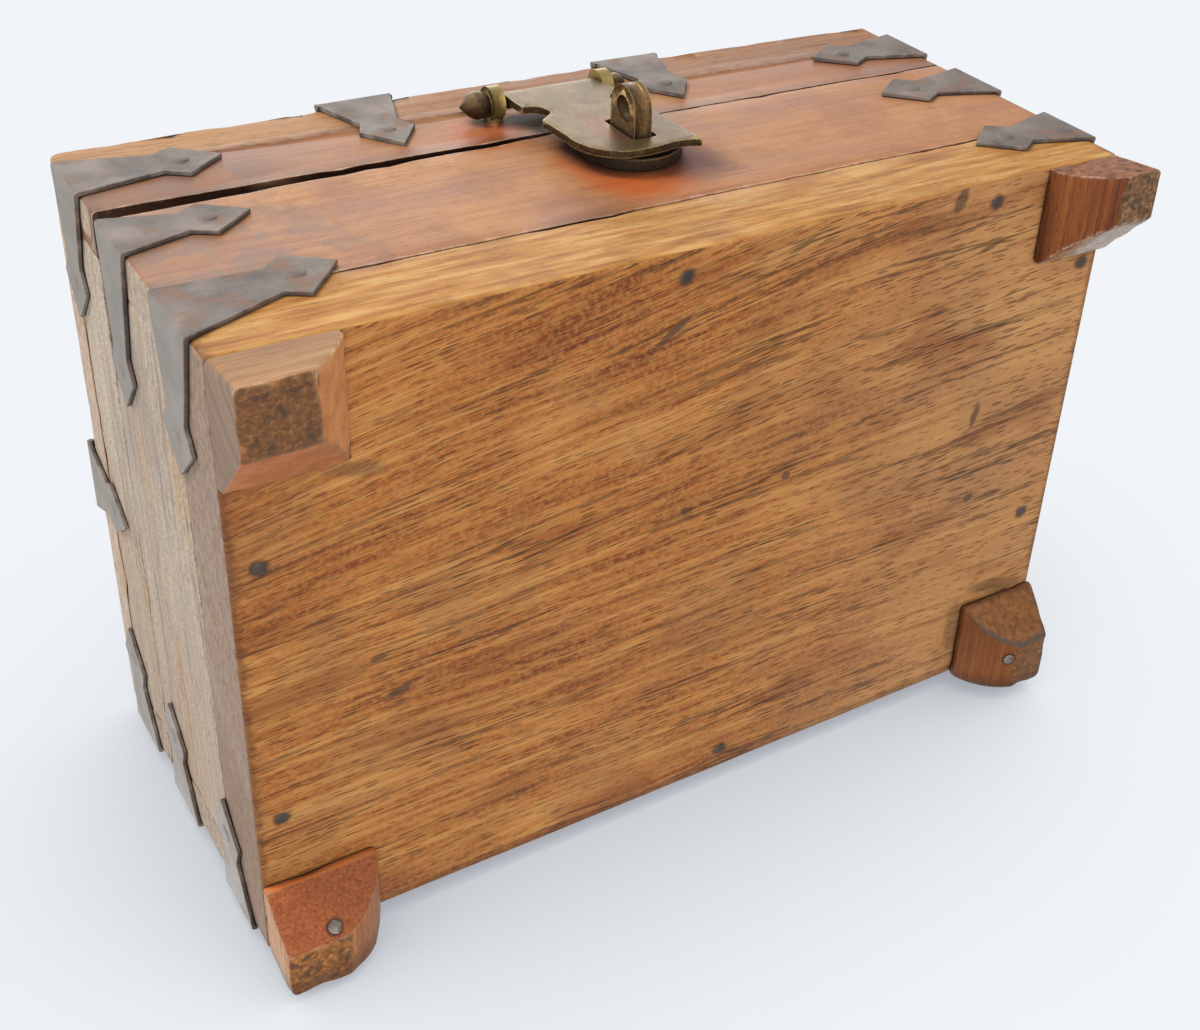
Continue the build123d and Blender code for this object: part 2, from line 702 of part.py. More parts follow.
hasp_plane = face_plane((hasp_x, front_y - hasp_front, pintle_z), (1, 0, 0))
with BuildPart() as hasp:
    with BuildSketch(hasp_plane):
        with BuildLine():
            for side in (-1, 1):
                ear_end = lean(side * hasp_half, hasp_ear_end)
                waist = lean(side * hasp_waist_half, hasp_waist)
                Polyline((0, 0), (side * hasp_top_half, 0), lean(side * hasp_half, hasp_ear), ear_end)
                ThreePointArc(ear_end, lean(side * hasp_bow_half, hasp_bow), waist)
                Line(waist, lean(side * hasp_half, hasp_shoulder))
            Line(lean(-hasp_half, hasp_shoulder), lean(-hasp_half, hasp_side))
            toe_drops = [(-hasp_half, hasp_side), *hasp_toe, (hasp_half, hasp_drop)]
            toe = [lean(x, drop) for x, drop in toe_drops]
            for first in range(0, len(hasp_toe), 2):
                ThreePointArc(*toe[first : first + 3])
            Line(lean(hasp_half, hasp_drop), lean(hasp_half, hasp_shoulder))
        make_face()
        with Locations((lug_place - hasp_x, -lug_drop)):
            RectangleRounded(
                lug_thickness + 2 * slot_side,
                2 * (lug_radius + slot_end),
                slot_corner,
                mode=Mode.SUBTRACT,
            )
    extrude(amount=hasp_thickness, dir=(0, 1, 0))
    pintle_half = eye_inner + eye_width + collar_gap
    pintle = Plane(origin=(hasp_x, pintle_y, pintle_z), z_dir=(1, 0, 0))
    with Locations(pintle):
        Cylinder(pintle_radius, 2 * pintle_half)
    with BuildSketch(face_plane((hasp_x - pintle_half, pintle_y, pintle_z), (-1, 0, 0))):
        with BuildLine():
            Polyline((bud_length, 0), (0, 0), (0, bud_neck))
            ThreePointArc((0, bud_neck), (bud_bulge, bud_radius), (bud_shoulder, bud_shoulder_radius))
            Line((bud_shoulder, bud_shoulder_radius), (bud_length, 0))
        make_face()
    revolve(axis=Axis((hasp_x, pintle_y, pintle_z), (1, 0, 0)))
    with Locations(pintle.offset(pintle_half + knob_seat)):
        Sphere(knob_radius)
export(hasp.part, "hasp")
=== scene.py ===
from math import exp, radians

import bmesh
import bpy
from mathutils import Euler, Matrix, Vector, geometry, noise


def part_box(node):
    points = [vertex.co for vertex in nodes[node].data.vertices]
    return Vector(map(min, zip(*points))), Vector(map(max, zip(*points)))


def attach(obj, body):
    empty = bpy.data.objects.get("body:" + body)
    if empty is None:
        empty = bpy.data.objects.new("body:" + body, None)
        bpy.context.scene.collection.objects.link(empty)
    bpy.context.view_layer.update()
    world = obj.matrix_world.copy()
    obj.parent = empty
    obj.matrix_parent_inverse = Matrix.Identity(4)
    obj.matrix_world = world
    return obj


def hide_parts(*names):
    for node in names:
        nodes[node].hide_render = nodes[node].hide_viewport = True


# Small iron-bound wooden chest with a brass hasp, dressed over its CAD frame, in metres.
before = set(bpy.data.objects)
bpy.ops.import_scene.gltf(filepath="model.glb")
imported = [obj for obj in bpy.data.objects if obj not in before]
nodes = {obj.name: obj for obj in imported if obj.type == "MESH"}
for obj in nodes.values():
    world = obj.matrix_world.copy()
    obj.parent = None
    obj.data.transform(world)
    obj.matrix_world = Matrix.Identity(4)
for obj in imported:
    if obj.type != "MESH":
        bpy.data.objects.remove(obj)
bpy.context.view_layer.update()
scene = bpy.context.scene
MM = 0.001

# Places that the marks, stains and cuts keep to, in millimetres
BOARD_END_X = 127.0
BACK_Y = 93.0
RIM_Z = 91.5
FOOT_LIP_Z = 13.0
HASP_PLATE_Y = -85.8

# --- Camera, which looks up at the chest's underside, with the front on top ------------------
lens = bpy.data.cameras.new("camera")
lens.sensor_width = 36
lens.lens = 49.562
lens.shift_x = -0.08313
lens.shift_y = -0.05292
lens.clip_start = 0.01
camera = bpy.data.objects.new("camera", lens)
camera.location = (-0.208174, -0.245864, -0.272117)
camera.rotation_euler = Euler((radians(145.1225), radians(32.8737), radians(-4.2854)))
scene.collection.objects.link(camera)
scene.camera = camera
scene.view_settings.view_transform = "Standard"


# --- Finishes ----------------------------------------------------------------------------------
def paint(red, green, blue):
    """A screen colour of 0 to 255 as the renderer's linear one."""
    shares = [channel / 255 for channel in (red, green, blue)]
    return (*[s / 12.92 if s <= 0.04045 else ((s + 0.055) / 1.055) ** 2.4 for s in shares], 1)


class Value:
    """A socket of a finish. Its operators add Math nodes."""

    def __init__(self, finish, socket):
        self.finish = finish
        self.socket = socket

    def maths(self, operation, *inputs):
        return self.finish.node("ShaderNodeMath", {"operation": operation}, inputs)

    def __add__(self, other):
        return self.maths("ADD", self, other)

    def __sub__(self, other):
        return self.maths("SUBTRACT", self, other)

    def __rsub__(self, other):
        return self.maths("SUBTRACT", other, self)

    def __mul__(self, other):
        return self.maths("MULTIPLY", self, other)

    def __truediv__(self, other):
        return self.maths("DIVIDE", self, other)

    def __abs__(self):
        return self.maths("ABSOLUTE", self)

    __radd__ = __add__
    __rmul__ = __mul__


class Finish:
    """A procedural material, built node by node, with places in millimetres."""

    def __init__(self, name):
        self.material = bpy.data.materials.new(name)
        self.material.use_nodes = True
        self.tree = self.material.node_tree
        self.shader = self.tree.nodes["Principled BSDF"]
        metres = self.node("ShaderNodeTexCoord", output="Object")
        scaling = {"operation": "SCALE"}
        self.place = self.node("ShaderNodeVectorMath", scaling, {0: metres, "Scale": 1 / MM})
        self.x, self.y, self.z = self.split(self.place)
        facing = self.node("ShaderNodeTexCoord", output="Normal")
        self.facing_x, self.facing_y, self.facing_z = self.split(facing)
        self.edge = self.node("ShaderNodeAttribute", {"attribute_name": "edge"}, output="Fac")

    def node(self, kind, settings=None, inputs=(), output=0):
        """Add a node: its settings first, then its inputs, as values or as links."""
        made = self.tree.nodes.new(kind)
        for name, value in (settings or {}).items():
            if name == "stops":
                self.set_stops(made.color_ramp.elements, value)
            else:
                setattr(made, name, value)
        pairs = inputs.items() if isinstance(inputs, dict) else enumerate(inputs)
        for key, value in pairs:
            self.feed(made.inputs[key], value)
        return Value(self, made.outputs[output])

    def feed(self, socket, value):
        if isinstance(value, Value):
            self.tree.links.new(value.socket, socket)
        else:
            socket.default_value = value

    def set_stops(self, stops, wanted):
        while len(stops) < len(wanted):
            stops.new(0.5)
        for stop, (at, colour) in zip(stops, wanted):
            stop.position = at
            stop.color = colour

    def give(self, **inputs):
        """Set or link the shader's own sockets."""
        for name, value in inputs.items():
            self.feed(self.shader.inputs[name.replace("_", " ")], value)

    def split(self, vector):
        made = self.node("ShaderNodeSeparateXYZ", inputs=[vector])
        return [Value(self, output) for output in made.socket.node.outputs]

    def join(self, x, y, z):
        return self.node("ShaderNodeCombineXYZ", inputs=[x, y, z])

    def away_from(self, middle):
        """The distance to a place, in millimetres."""
        settings = {"operation": "DISTANCE"}
        return self.node("ShaderNodeVectorMath", settings, [self.place, middle], "Value")

    def noise(self, vector, scale=1.0, detail=3.0, roughness=0.55):
        inputs = {"Vector": vector, "Scale": scale, "Detail": detail, "Roughness": roughness}
        return self.node("ShaderNodeTexNoise", inputs=inputs)

    def cloudy(self, scale, detail=3.0, roughness=0.55):
        """Noise in every direction, with a scale of so many features a millimetre."""
        return self.noise(self.place, scale, detail, roughness)

    def ease(self, value, low, high, start=0.0, end=1.0):
        """Bring a value smoothly from start at low to end at high, and hold it beyond them."""
        settings = {"interpolation_type": "SMOOTHSTEP"}
        return self.node("ShaderNodeMapRange", settings, [value, low, high, start, end])

    def ramp(self, value, *stops):
        return self.node("ShaderNodeValToRGB", {"stops": stops}, [value])

    def mix(self, share, first, second):
        settings = {"data_type": "RGBA", "blend_type": "MIX"}
        return self.node("ShaderNodeMix", settings, {0: share, 6: first, 7: second}, 2)

    def hollows(self, reach):
        """1 in the open, falling towards 0 in corners and under what stands close. The finishes
        paint shade with it.
        """
        inputs = {"Distance": reach * MM}
        return self.node("ShaderNodeAmbientOcclusion", {"samples": 8}, inputs, "AO")

    def bump(self, height, distance):
        inputs = {"Height": height, "Distance": distance * MM, "Strength": 1.0}
        return self.node("ShaderNodeBump", inputs=inputs)


class Timber(Finish):
    """Oiled, worn hardwood with open pores, whose grain runs along x or along y."""

    def __init__(self, name, along, slope=0.0, curve=0.0, fold=1):
        super().__init__(name)
        run, across = (self.x, self.y) if along == "x" else (self.y, self.x)
        facing = self.facing_x if along == "x" else self.facing_y
        sway = self.noise(self.join(run / 120, across / 60, self.z / 60), detail=1.0)
        self.run = run
        self.over = across + self.z * fold + sway * 9 + self.bend(run, slope, curve)
        self.ends = self.ease(abs(facing), 0.72, 0.9)
        self.cloud = self.grain(75, 26, detail=2.0)
        self.streak = self.grain(80, 2.6, detail=3.0)
        self.fibre = self.grain(18, 0.4, detail=2.0, roughness=0.7)
        self.ragged = self.cloudy(0.45)

    def front_faces(self):
        """1 on faces that look forwards, 0 on the others."""
        return self.ease(self.facing_y, -0.5, -0.8)

    def bend(self, run, slope, curve):
        """How far the grain has drifted across the board, most at the board's front."""
        if not slope:
            return 0.0
        drift = self.ease(self.y, 60, -78) * self.ease(self.facing_y, -0.8, -0.5)
        return drift * run * (slope - run * curve)

    def grain(self, length, width, detail=2.0, roughness=0.55):
        """Noise drawn out along the grain, folding over the board's edges."""
        where = self.join(self.run / length, self.over / width, 0.0)
        return self.noise(where, detail=detail, roughness=roughness)

    def pores(self, length, width, size):
        """Open pores, as crisp dark dashes along the grain."""
        where = self.join(self.run / length, self.over / width, 0.0)
        settings = {"voronoi_dimensions": "2D"}
        near = self.node("ShaderNodeTexVoronoi", settings, {"Vector": where, "Scale": 1.0})
        return self.ease(near, size, size * 0.72)

    def smudge(self, x, y, length, width, turn=0.0):
        """1 in a ragged mark that lies on the underside, falling to 0 round it."""
        moving = {0: self.place, "Location": (-x, -y, 0.0)}
        moved = self.node("ShaderNodeMapping", {"vector_type": "POINT"}, moving)
        turning = {0: moved, "Angle": -turn}
        turned = self.node("ShaderNodeVectorRotate", {"rotation_type": "Z_AXIS"}, turning)
        across, over, _ = self.split(turned)
        flat = self.join(across / length, over / width, 0.0)
        away = self.node("ShaderNodeVectorMath", {"operation": "LENGTH"}, [flat], "Value")
        return self.ease(away + self.ragged * 0.8, 1.5, 0.9)

    def tone(self, dark, middle, light, streaky=0.55):
        """The wood's own colour, from its dark streaks to its light ones."""
        blend = self.cloud * (1 - streaky) + self.streak * streaky + (self.fibre - 0.5) * 0.5
        return self.ramp(blend, (0.34, dark), (0.5, middle), (0.66, light))

    def open_pores(self, colour, pore, amount):
        """Cut the pores into the colour, long ones and short ones, in crowds."""
        along = 1 - self.ends
        crowd = self.ease(self.grain(60, 12, detail=1.0), 0.3, 0.7, 0.5, 1.15) * amount
        start = 0.73 - crowd * 0.1
        long_line = self.ease(self.grain(44, 1.05, detail=1.0), start, start + 0.05)
        dash = self.pores(34, 1.5, crowd * 0.19)
        short_dash = self.pores(11, 1.15, crowd * 0.2)
        holes = long_line.maths("MAXIMUM", dash * 0.85).maths("MAXIMUM", short_dash * 0.8)
        self.holes = holes * along
        lines = self.ease(abs(self.grain(170, 5, detail=2.0) - 0.5), 0.02, 0.006) * crowd
        colour = self.mix(lines * along * 0.45, colour, pore)
        return self.mix(self.holes * 0.95, colour, pore)

    def mottle(self, dark, light, scale=0.4):
        """Rough wood with no clear grain."""
        return self.ramp(self.cloudy(scale, 5.0, 0.65), (0.34, dark), (0.64, light))

    def end_grain(self, colour, dark, light, share=0.9):
        """Rough, speckled wood where the grain ends."""
        across = self.join(self.x, self.y * 0.35, self.z)
        speckle = self.noise(across, 1.1, detail=4.0, roughness=0.8)
        rough = self.ramp(speckle, (0.36, dark), (0.6, light))
        return self.mix(self.ends * share, colour, rough)

    def finished(self, colour, bare_tone, bare=0.4, wide=2.3, shine=0.4, reach=5, gloss=0.2):
        """Rub the corners bare, paint shade into the creases and set the surface."""
        corners = self.ease(self.edge + self.ragged * 3.0, wide, wide - 1.4)
        colour = self.mix(corners * bare, colour, bare_tone)
        # Painted shade: darker in corners, creases, gaps and under what stands close
        crevice_shade = self.ease(self.hollows(reach), 0.72, 0.25)
        colour = self.mix(crevice_shade * 0.85, colour, paint(38, 22, 13))
        roughness = self.ease(self.cloud, 0.35, 0.65, shine, shine + 0.14) + self.holes * 0.2
        relief = self.fibre * 0.25 + self.streak * 0.6 - self.holes + self.cloud
        self.give(
            Base_Color=colour,
            Roughness=roughness + self.ends * 0.2 + crevice_shade * 0.2,
            Normal=self.bump(relief, 0.12),
            Specular_IOR_Level=gloss,
        )
        return self.material


def board_wood(nail_places):
    """The bottom board: brown pored underside, golden edges, marks and nail stains."""
    wood = Timber("bottom_wood", "x", slope=0.15, curve=0.0004)
    colour = wood.tone(paint(144, 69, 26), paint(208, 129, 61), paint(246, 181, 104))
    flecks = wood.ease(wood.cloudy(0.75), 0.4, 0.62)
    colour = wood.mix(flecks * 0.38, colour, paint(232, 168, 92))
    right = wood.ease(wood.x + wood.cloud * 60, 30, 130)
    colour = wood.mix(right * 0.5, colour, paint(224, 172, 116))
    grey = wood.ease(wood.cloudy(0.035, 2.0), 0.5, 0.66)
    colour = wood.mix(grey * 0.25, colour, paint(168, 124, 84))
    redder = wood.ease(wood.grain(50, 16, detail=3.0), 0.5, 0.68)
    colour = wood.mix(redder * 0.5, colour, paint(146, 74, 34))
    front = wood.front_faces()
    colour = wood.mix(front * 0.92, colour, golden_edge(wood))
    colour = wood.open_pores(colour, paint(34, 14, 7), 1.25 - front * 0.7)
    colour = wood.end_grain(colour, paint(112, 103, 90), paint(184, 173, 155))
    dirty = wood.ease(wood.y + wood.cloud * 60, 20, 90)
    colour = wood.mix(wood.ends * dirty * 0.45, colour, paint(108, 84, 62))
    far_out = abs(wood.x) + wood.ragged * 5
    chipped = wood.ease(far_out, BOARD_END_X - 0.5, BOARD_END_X + 2)
    colour = wood.mix(chipped * 0.6, colour, paint(84, 50, 30))
    shaded = wood.ease(wood.y + wood.ragged * 4, BACK_Y - 3, BACK_Y + 2)
    colour = wood.mix(shaded * 0.6, colour, paint(72, 40, 22))
    colour = marked(wood, colour, nail_places)
    return wood.finished(colour, paint(214, 150, 80))


def golden_edge(wood):
    """The board's front edge, flushed with gold and smeared with brown."""
    flush = wood.noise(wood.join(wood.x / 22, wood.z / 2.4, 0.0))
    dark, middle, light = paint(178, 114, 52), paint(214, 152, 76), paint(234, 184, 110)
    gold = wood.ramp(flush, (0.34, dark), (0.5, middle), (0.66, light))
    smear = wood.ease(wood.cloudy(0.08, 4.0), 0.5, 0.66)
    return wood.mix(smear * 0.45, gold, paint(168, 112, 62))


# Dark marks on the underside: middle x and y, length and width in millimetres, turn in radians
# and strength
BOARD_MARKS = [
    (-93.1, 10.3, 3.2, 1.3, -0.2, 0.72),
    (-88.4, 22.5, 5.0, 1.6, -0.3, 0.72),
    (-15.2, -58.4, 7.5, 1.3, -0.6, 0.72),
    (-7.9, -4.3, 2.2, 1.4, 0.0, 0.72),
    (23.6, -5.7, 1.8, 1.5, 0.0, 0.72),
    (93.3, 23.4, 2.4, 1.8, 0.0, 0.72),
    (71.6, -76.0, 2.6, 4.5, 0.3, 0.72),
    (90.0, -6.0, 1.6, 5.0, 0.2, 0.72),
    # These three, beside the feet, are dark dirt with the feet's painted shadow in it
    (96.5, 74.0, 4.0, 12.0, 0.0, 0.45),
    (112.0, 62.5, 14.0, 3.5, 0.2, 0.45),
    (-96.0, -44.0, 9.0, 2.4, 0.2, 0.45),
]


def marked(wood, colour, nail_places):
    """The underside's colour with its dark marks and a stained ring round each nail."""
    under = wood.ease(wood.facing_z, -0.7, -0.9)
    for x, y, length, width, turn, strength in BOARD_MARKS:
        mark = wood.smudge(x, y, length, width, turn)
        colour = wood.mix(mark * under * strength, colour, paint(62, 44, 34))
    for x, y in nail_places:
        ring = wood.smudge(x, y, 3.0, 2.6)
        colour = wood.mix(ring * under * 0.8, colour, paint(46, 32, 26))
    return colour


# Stains on the front, and the lock's painted shadow: middle and reach in millimetres, strength and
# colour
FRONT_STAINS_AND_SHADOW = [
    ((4, -79, 65), 25, 0.78, paint(162, 72, 24)),
    ((-22, -79, 99), 12, 0.65, paint(150, 74, 30)),
    # The lock's painted shadow, below and to the right of its boss
    ((15, -79, 61), 17, 0.7, paint(60, 30, 17)),
]


def front_wood():
    """The front panel and the lid's front rail: redder, cloudy, stained round the lock, with the
    lock's shadow painted below it.
    """
    wood = Timber("front_wood", "x")
    colour = wood.tone(paint(148, 94, 54), paint(186, 130, 78), paint(208, 156, 102), 0.3)
    blot = wood.cloudy(0.06, 5.0)
    colour = wood.mix(wood.ease(blot, 0.45, 0.65) * 0.5, colour, paint(144, 98, 68))
    dull = wood.ease(wood.cloudy(0.3, 4.0, 0.65), 0.5, 0.7)
    colour = wood.mix(dull * 0.2, colour, paint(112, 72, 46))
    colour = wood.open_pores(colour, paint(92, 50, 30), 0.5)
    pits = wood.ease(wood.cloudy(1.5, 2.0), 0.6, 0.7)
    colour = wood.mix(pits * 0.4, colour, paint(104, 62, 40))
    rail = wood.ease(wood.z, RIM_Z - 0.5, RIM_Z + 0.5)
    rail_ends = rail * wood.ease(abs(wood.x), 50, 115)
    colour = wood.mix(rail_ends * 0.65, colour, paint(100, 62, 44))
    colour = wood.mix(rail * 0.25, colour, paint(124, 84, 62))
    right = wood.ease(wood.x, 20, 110)
    colour = wood.mix(right * 0.3, colour, paint(156, 102, 70))
    outer = wood.ease(wood.facing_y, 0.2, -0.4)
    # The stains, and the lock's painted shadow
    for middle, reach, strength, tone in FRONT_STAINS_AND_SHADOW:
        away = wood.away_from(middle) + blot * 16 + pits * 4 - 9
        stain = wood.ease(away, reach, reach * 0.45)
        colour = wood.mix(stain * outer * strength, colour, tone)
    shade = wood.ease(wood.x + blot * 60, -60, -100)
    colour = wood.mix(shade * 0.45, colour, paint(116, 88, 68))
    smoky = wood.ease(wood.cloudy(0.11, 5.0), 0.46, 0.6)
    left = wood.ease(wood.x, -62, -92)
    colour = wood.mix(smoky * left * 0.5, colour, paint(96, 78, 68))
    colour = wood.end_grain(colour, paint(104, 90, 76), paint(168, 152, 132))
    bare_tone = paint(200, 172, 152)
    # The long reach spreads the painted shade of the creases round and under the lock
    return wood.finished(colour, bare_tone, bare=0.5, shine=0.34, reach=9, gloss=0.32)


def back_wood():
    """The back panel and the lid's back rail, plainer and darker, with painted shade on the faces
    inside the chest.
    """
    wood = Timber("back_wood", "x")
    colour = wood.tone(paint(124, 76, 44), paint(156, 102, 62), paint(180, 128, 84))
    # Painted shade: the faces that look forwards, inside the chest, are darker
    colour = wood.mix(wood.front_faces() * 0.5, colour, paint(70, 44, 30))
    colour = wood.open_pores(colour, paint(72, 40, 24), 0.8)
    colour = wood.end_grain(colour, paint(92, 80, 68), paint(152, 138, 120))
    return wood.finished(colour, paint(190, 156, 124))


def end_wood():
    """The two ends, bleached grey and tan, with fine grain and dark specks."""
    wood = Timber("end_wood", "y")
    colour = wood.tone(paint(160, 145, 129), paint(204, 188, 168), paint(224, 208, 186))
    tan = wood.ease(wood.grain(120, 14, detail=2.0), 0.5, 0.64)
    colour = wood.mix(tan * 0.6, colour, paint(202, 164, 116))
    brown = wood.ease(wood.y + wood.cloud * 50, 10, 100)
    colour = wood.mix(brown * 0.4, colour, paint(158, 124, 88))
    colour = wood.open_pores(colour, paint(92, 74, 62), 0.95)
    grit = wood.ease(wood.cloudy(1.0, 4.0, 0.8), 0.44, 0.64)
    colour = wood.mix(grit * 0.6, colour, paint(104, 91, 78))
    specks = wood.ease(wood.cloudy(0.8, 3.0, 0.7), 0.6, 0.68)
    colour = wood.mix(specks * 0.6, colour, paint(84, 70, 58))
    colour = wood.end_grain(colour, paint(110, 84, 66), paint(166, 138, 116))
    return wood.finished(colour, paint(206, 190, 172), shine=0.5)


def lid_wood():
    """The lid's board: golden front edge, worn brown top, bleached speckled ends."""
    wood = Timber("lid_wood", "x", slope=0.05)
    colour = wood.tone(paint(132, 84, 48), paint(170, 116, 68), paint(196, 144, 94))
    front = wood.front_faces()
    colour = wood.mix(front * 0.35, colour, paint(150, 118, 90))
    gold = wood.ease(wood.x, 0, -80) * front
    colour = wood.mix(gold * 0.5, colour, paint(206, 156, 92))
    colour = wood.open_pores(colour, paint(84, 48, 28), 0.9)
    colour = wood.end_grain(colour, paint(124, 106, 90), paint(172, 156, 140))
    return wood.finished(colour, paint(198, 160, 118))


class FootTimber(Timber):
    """One foot's wood: carved inner slopes, outer sides and a dirty, flattened end."""

    def __init__(self, name, along, tones, pore, fold=1):
        super().__init__(name, along, fold=fold)
        self.colour = self.open_pores(self.tone(*tones), pore, 0.8)
        self.colour = self.end_grain(self.colour, tones[0], tones[1], share=0.6)

    def side(self, facing, tone, share=0.9):
        """Give one side, front, back, left or right, a tone of its own."""
        turned = self.facing_x if facing in ("left", "right") else self.facing_y
        outward = turned * (1 if facing in ("right", "back") else -1)
        self.colour = self.mix(self.ease(outward, 0.5, 0.7) * share, self.colour, tone)

    def lip(self, tone, share):
        """Colour the front side's upper lip."""
        front = self.ease(self.facing_y, -0.5, -0.7)
        lip = self.ease(self.z, FOOT_LIP_Z - 0.4, FOOT_LIP_Z + 0.4) * front
        self.colour = self.mix(lip * share, self.colour, tone)

    def dirty_end(self, grime, dark, light):
        """Grind dirt into the end that the foot stands on."""
        end = self.ease(self.z + self.ragged * 0.7, 1.0, 0.6)
        grit = self.cloudy(0.7, 4.0, 0.7)
        tone = self.ramp(grit, (0.3, grime), (0.5, dark), (0.7, light))
        black = self.ease(self.cloudy(0.28, 4.0), 0.52, 0.64)
        tone = self.mix(black * 0.7, tone, paint(52, 42, 34))
        self.colour = self.mix(end * 0.95, self.colour, tone)

    def nail_stain_and_shade(self, place):
        """Darken the wood round a nail's head: a stain, with the shade round the head painted in.
        """
        ring = self.ease(self.away_from(place) + self.ragged, 3.4, 2.4)
        self.colour = self.mix(ring * 0.75, self.colour, paint(44, 26, 16))

    def foot_finished(self, bare_tone, bare, wide=2.3):
        """Shade the side towards the back of the chest, then finish as the boards are."""
        shaded = self.ease(self.y + self.ragged * 5, BACK_Y - 4, BACK_Y + 3)
        self.colour = self.mix(shaded * 0.6, self.colour, paint(56, 32, 20))
        return self.finished(self.colour, bare_tone, bare=bare, wide=wide, shine=0.42, reach=8)


def front_left_foot_wood():
    """Tan, with a grey outer side and corners rubbed pale, most of all along the front edge, where
    the paleness is also a painted highlight.
    """
    tones = [paint(150, 96, 56), paint(178, 122, 78), paint(200, 146, 98)]
    wood = FootTimber("front_left_foot_wood", "x", tones, paint(110, 66, 38))
    front = wood.tone(paint(104, 70, 42), paint(136, 100, 66), paint(160, 126, 90), 0.3)
    wood.side("front", front)
    wood.side("left", wood.tone(paint(84, 70, 58), paint(108, 92, 78), paint(128, 112, 98)))
    wood.side("right", wood.mottle(paint(170, 108, 62), paint(196, 134, 84), 0.2))
    wood.side("back", wood.mottle(paint(156, 90, 52), paint(184, 118, 74), 0.2))
    wood.dirty_end(paint(70, 53, 40), paint(100, 64, 36), paint(134, 94, 58))
    # Rubbed pale corners, strongest on the front edge, where it is also a painted highlight
    front_edge_wear_and_highlight = wood.ease(wood.y, -77.6, -79.4, 0.06, 0.5)
    return wood.foot_finished(paint(208, 178, 150), front_edge_wear_and_highlight)


def front_right_foot_wood():
    """Dark brown, with a side towards the back that turns pale at the chest's end."""
    tones = [paint(106, 50, 18), paint(144, 78, 32), paint(172, 104, 48)]
    wood = FootTimber("front_right_foot_wood", "y", tones, paint(44, 20, 10), fold=-1)
    wood.side("front", wood.mottle(paint(70, 40, 26), paint(142, 98, 72)))
    outer_half = wood.ease(wood.x + wood.ragged * 8, 112, 118)
    tan = wood.mottle(paint(128, 92, 62), paint(170, 134, 102))
    pale = wood.mottle(paint(160, 146, 132), paint(206, 196, 186))
    wood.side("back", wood.mix(outer_half, tan, pale), 0.8)
    wood.dirty_end(paint(50, 40, 32), paint(102, 72, 46), paint(148, 112, 74))
    return wood.foot_finished(paint(206, 186, 168), 0.6)


def back_left_foot_wood():
    """Tan, with a red-brown front under an orange lip and a stained nail."""
    tones = [paint(150, 92, 50), paint(182, 122, 74), paint(204, 148, 98)]
    wood = FootTimber("back_left_foot_wood", "y", tones, paint(96, 54, 30))
    wood.side("front", wood.mottle(paint(102, 48, 24), paint(146, 78, 38), 1.2), 0.95)
    left = wood.tone(paint(108, 76, 50), paint(142, 102, 68), paint(164, 124, 88))
    wood.side("left", left, 0.8)
    wood.lip(paint(190, 106, 46), 0.8)
    wood.dirty_end(paint(50, 42, 32), paint(134, 84, 40), paint(180, 120, 62))
    wood.nail_stain_and_shade((-113.8, 78.6, 2.3))
    return wood.foot_finished(paint(140, 106, 88), 0.5)


def back_right_foot_wood():
    """Brown, rubbed dark towards the end it stands on, with a stained nail."""
    tones = [paint(104, 54, 20), paint(134, 76, 32), paint(160, 100, 48)]
    wood = FootTimber("back_right_foot_wood", "y", tones, paint(74, 38, 18), fold=-1)
    wood.side("front", wood.mottle(paint(92, 56, 28), paint(134, 88, 48), 0.5), 0.95)
    wood.dirty_end(paint(64, 52, 40), paint(108, 68, 34), paint(142, 94, 52))
    wood.nail_stain_and_shade((109.2, 81.3, 0.9))
    near_end = wood.ease(wood.z, 12, 7, 0.15, 0.85)
    return wood.foot_finished(paint(72, 63, 56), near_end, wide=3.2)


def iron(name, dark, light, rust, rusty, bright=0.5):
    """Hammered sheet iron, brown with age and rubbed bright on its edges, with a painted sheen on
    the faces that look left or right and painted shade in its creases.
    """
    finish = Finish(name)
    cloud = finish.cloudy(0.09)
    pits = finish.cloudy(1.3, 4.0, 0.75)
    colour = finish.ramp(cloud * 0.6 + pits * 0.4, (0.36, dark), (0.62, light))
    scale = finish.ease(finish.cloudy(0.12, 4.0), 0.6 - rusty, 0.72 - rusty)
    colour = finish.mix(scale * 0.7, colour, rust)
    broken = finish.ease(finish.cloudy(0.16), 0.46, 0.64)
    # Painted sheen: faces that look left or right are made paler grey, for the light they reflect
    side_sheen = finish.ease(abs(finish.facing_x), 0.5, 0.8)
    colour = finish.mix(side_sheen * 0.5, colour, paint(128, 124, 117))
    rim = finish.ease(finish.edge + pits * 0.9, 0.85, 0.4)
    rim_tone = finish.mix(broken, paint(62, 51, 44), paint(158, 145, 133))
    colour = finish.mix(rim * bright, colour, rim_tone)
    # Painted shade where the iron meets the wood and round the nail heads
    crevice_shade = finish.ease(finish.hollows(3), 0.72, 0.35)
    colour = finish.mix(crevice_shade * 0.85, colour, paint(24, 17, 13))
    finish.give(
        Base_Color=colour,
        Metallic=0.3 - scale * 0.2,
        Roughness=finish.ease(pits, 0.3, 0.7, 0.46, 0.66) + scale * 0.15,
        Normal=finish.bump(pits * 0.8 + cloud * 3, 0.16),
    )
    return finish.material


